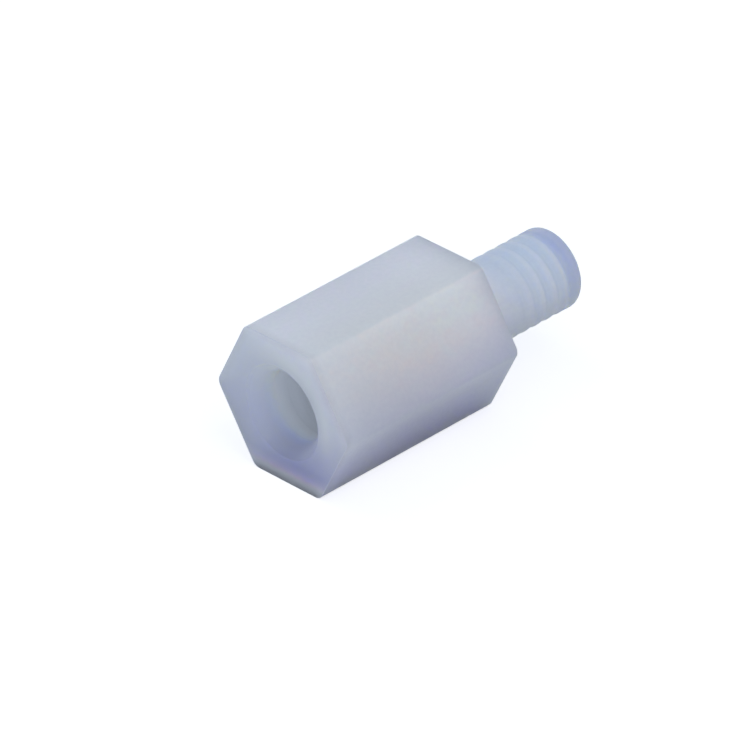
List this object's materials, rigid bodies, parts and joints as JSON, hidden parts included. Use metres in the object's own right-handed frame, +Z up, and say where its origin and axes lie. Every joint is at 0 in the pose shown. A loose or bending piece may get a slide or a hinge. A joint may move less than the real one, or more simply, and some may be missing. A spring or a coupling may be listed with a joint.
{
  "type": "hex standoff",
  "caption": "Male-female hex standoff in natural nylon: a hexagonal spacer body with a blind tapped socket in one end and a threaded stud on the other.",
  "frame": {"origin": "on the surface that the part lies on, under the middle of its overall length and of its axis", "axes": "+X along the part's axis from the socket end to the stud's tip, +Z up from the flat that it lies on, +Y across the corners of the hexagon"},
  "size_m": [0.016, 0.008, 0.007],
  "materials": {
    "nylon": "satin"
  },
  "bodies": {
    "root": {"standoff": "nylon"}
  },
  "joints": []
}
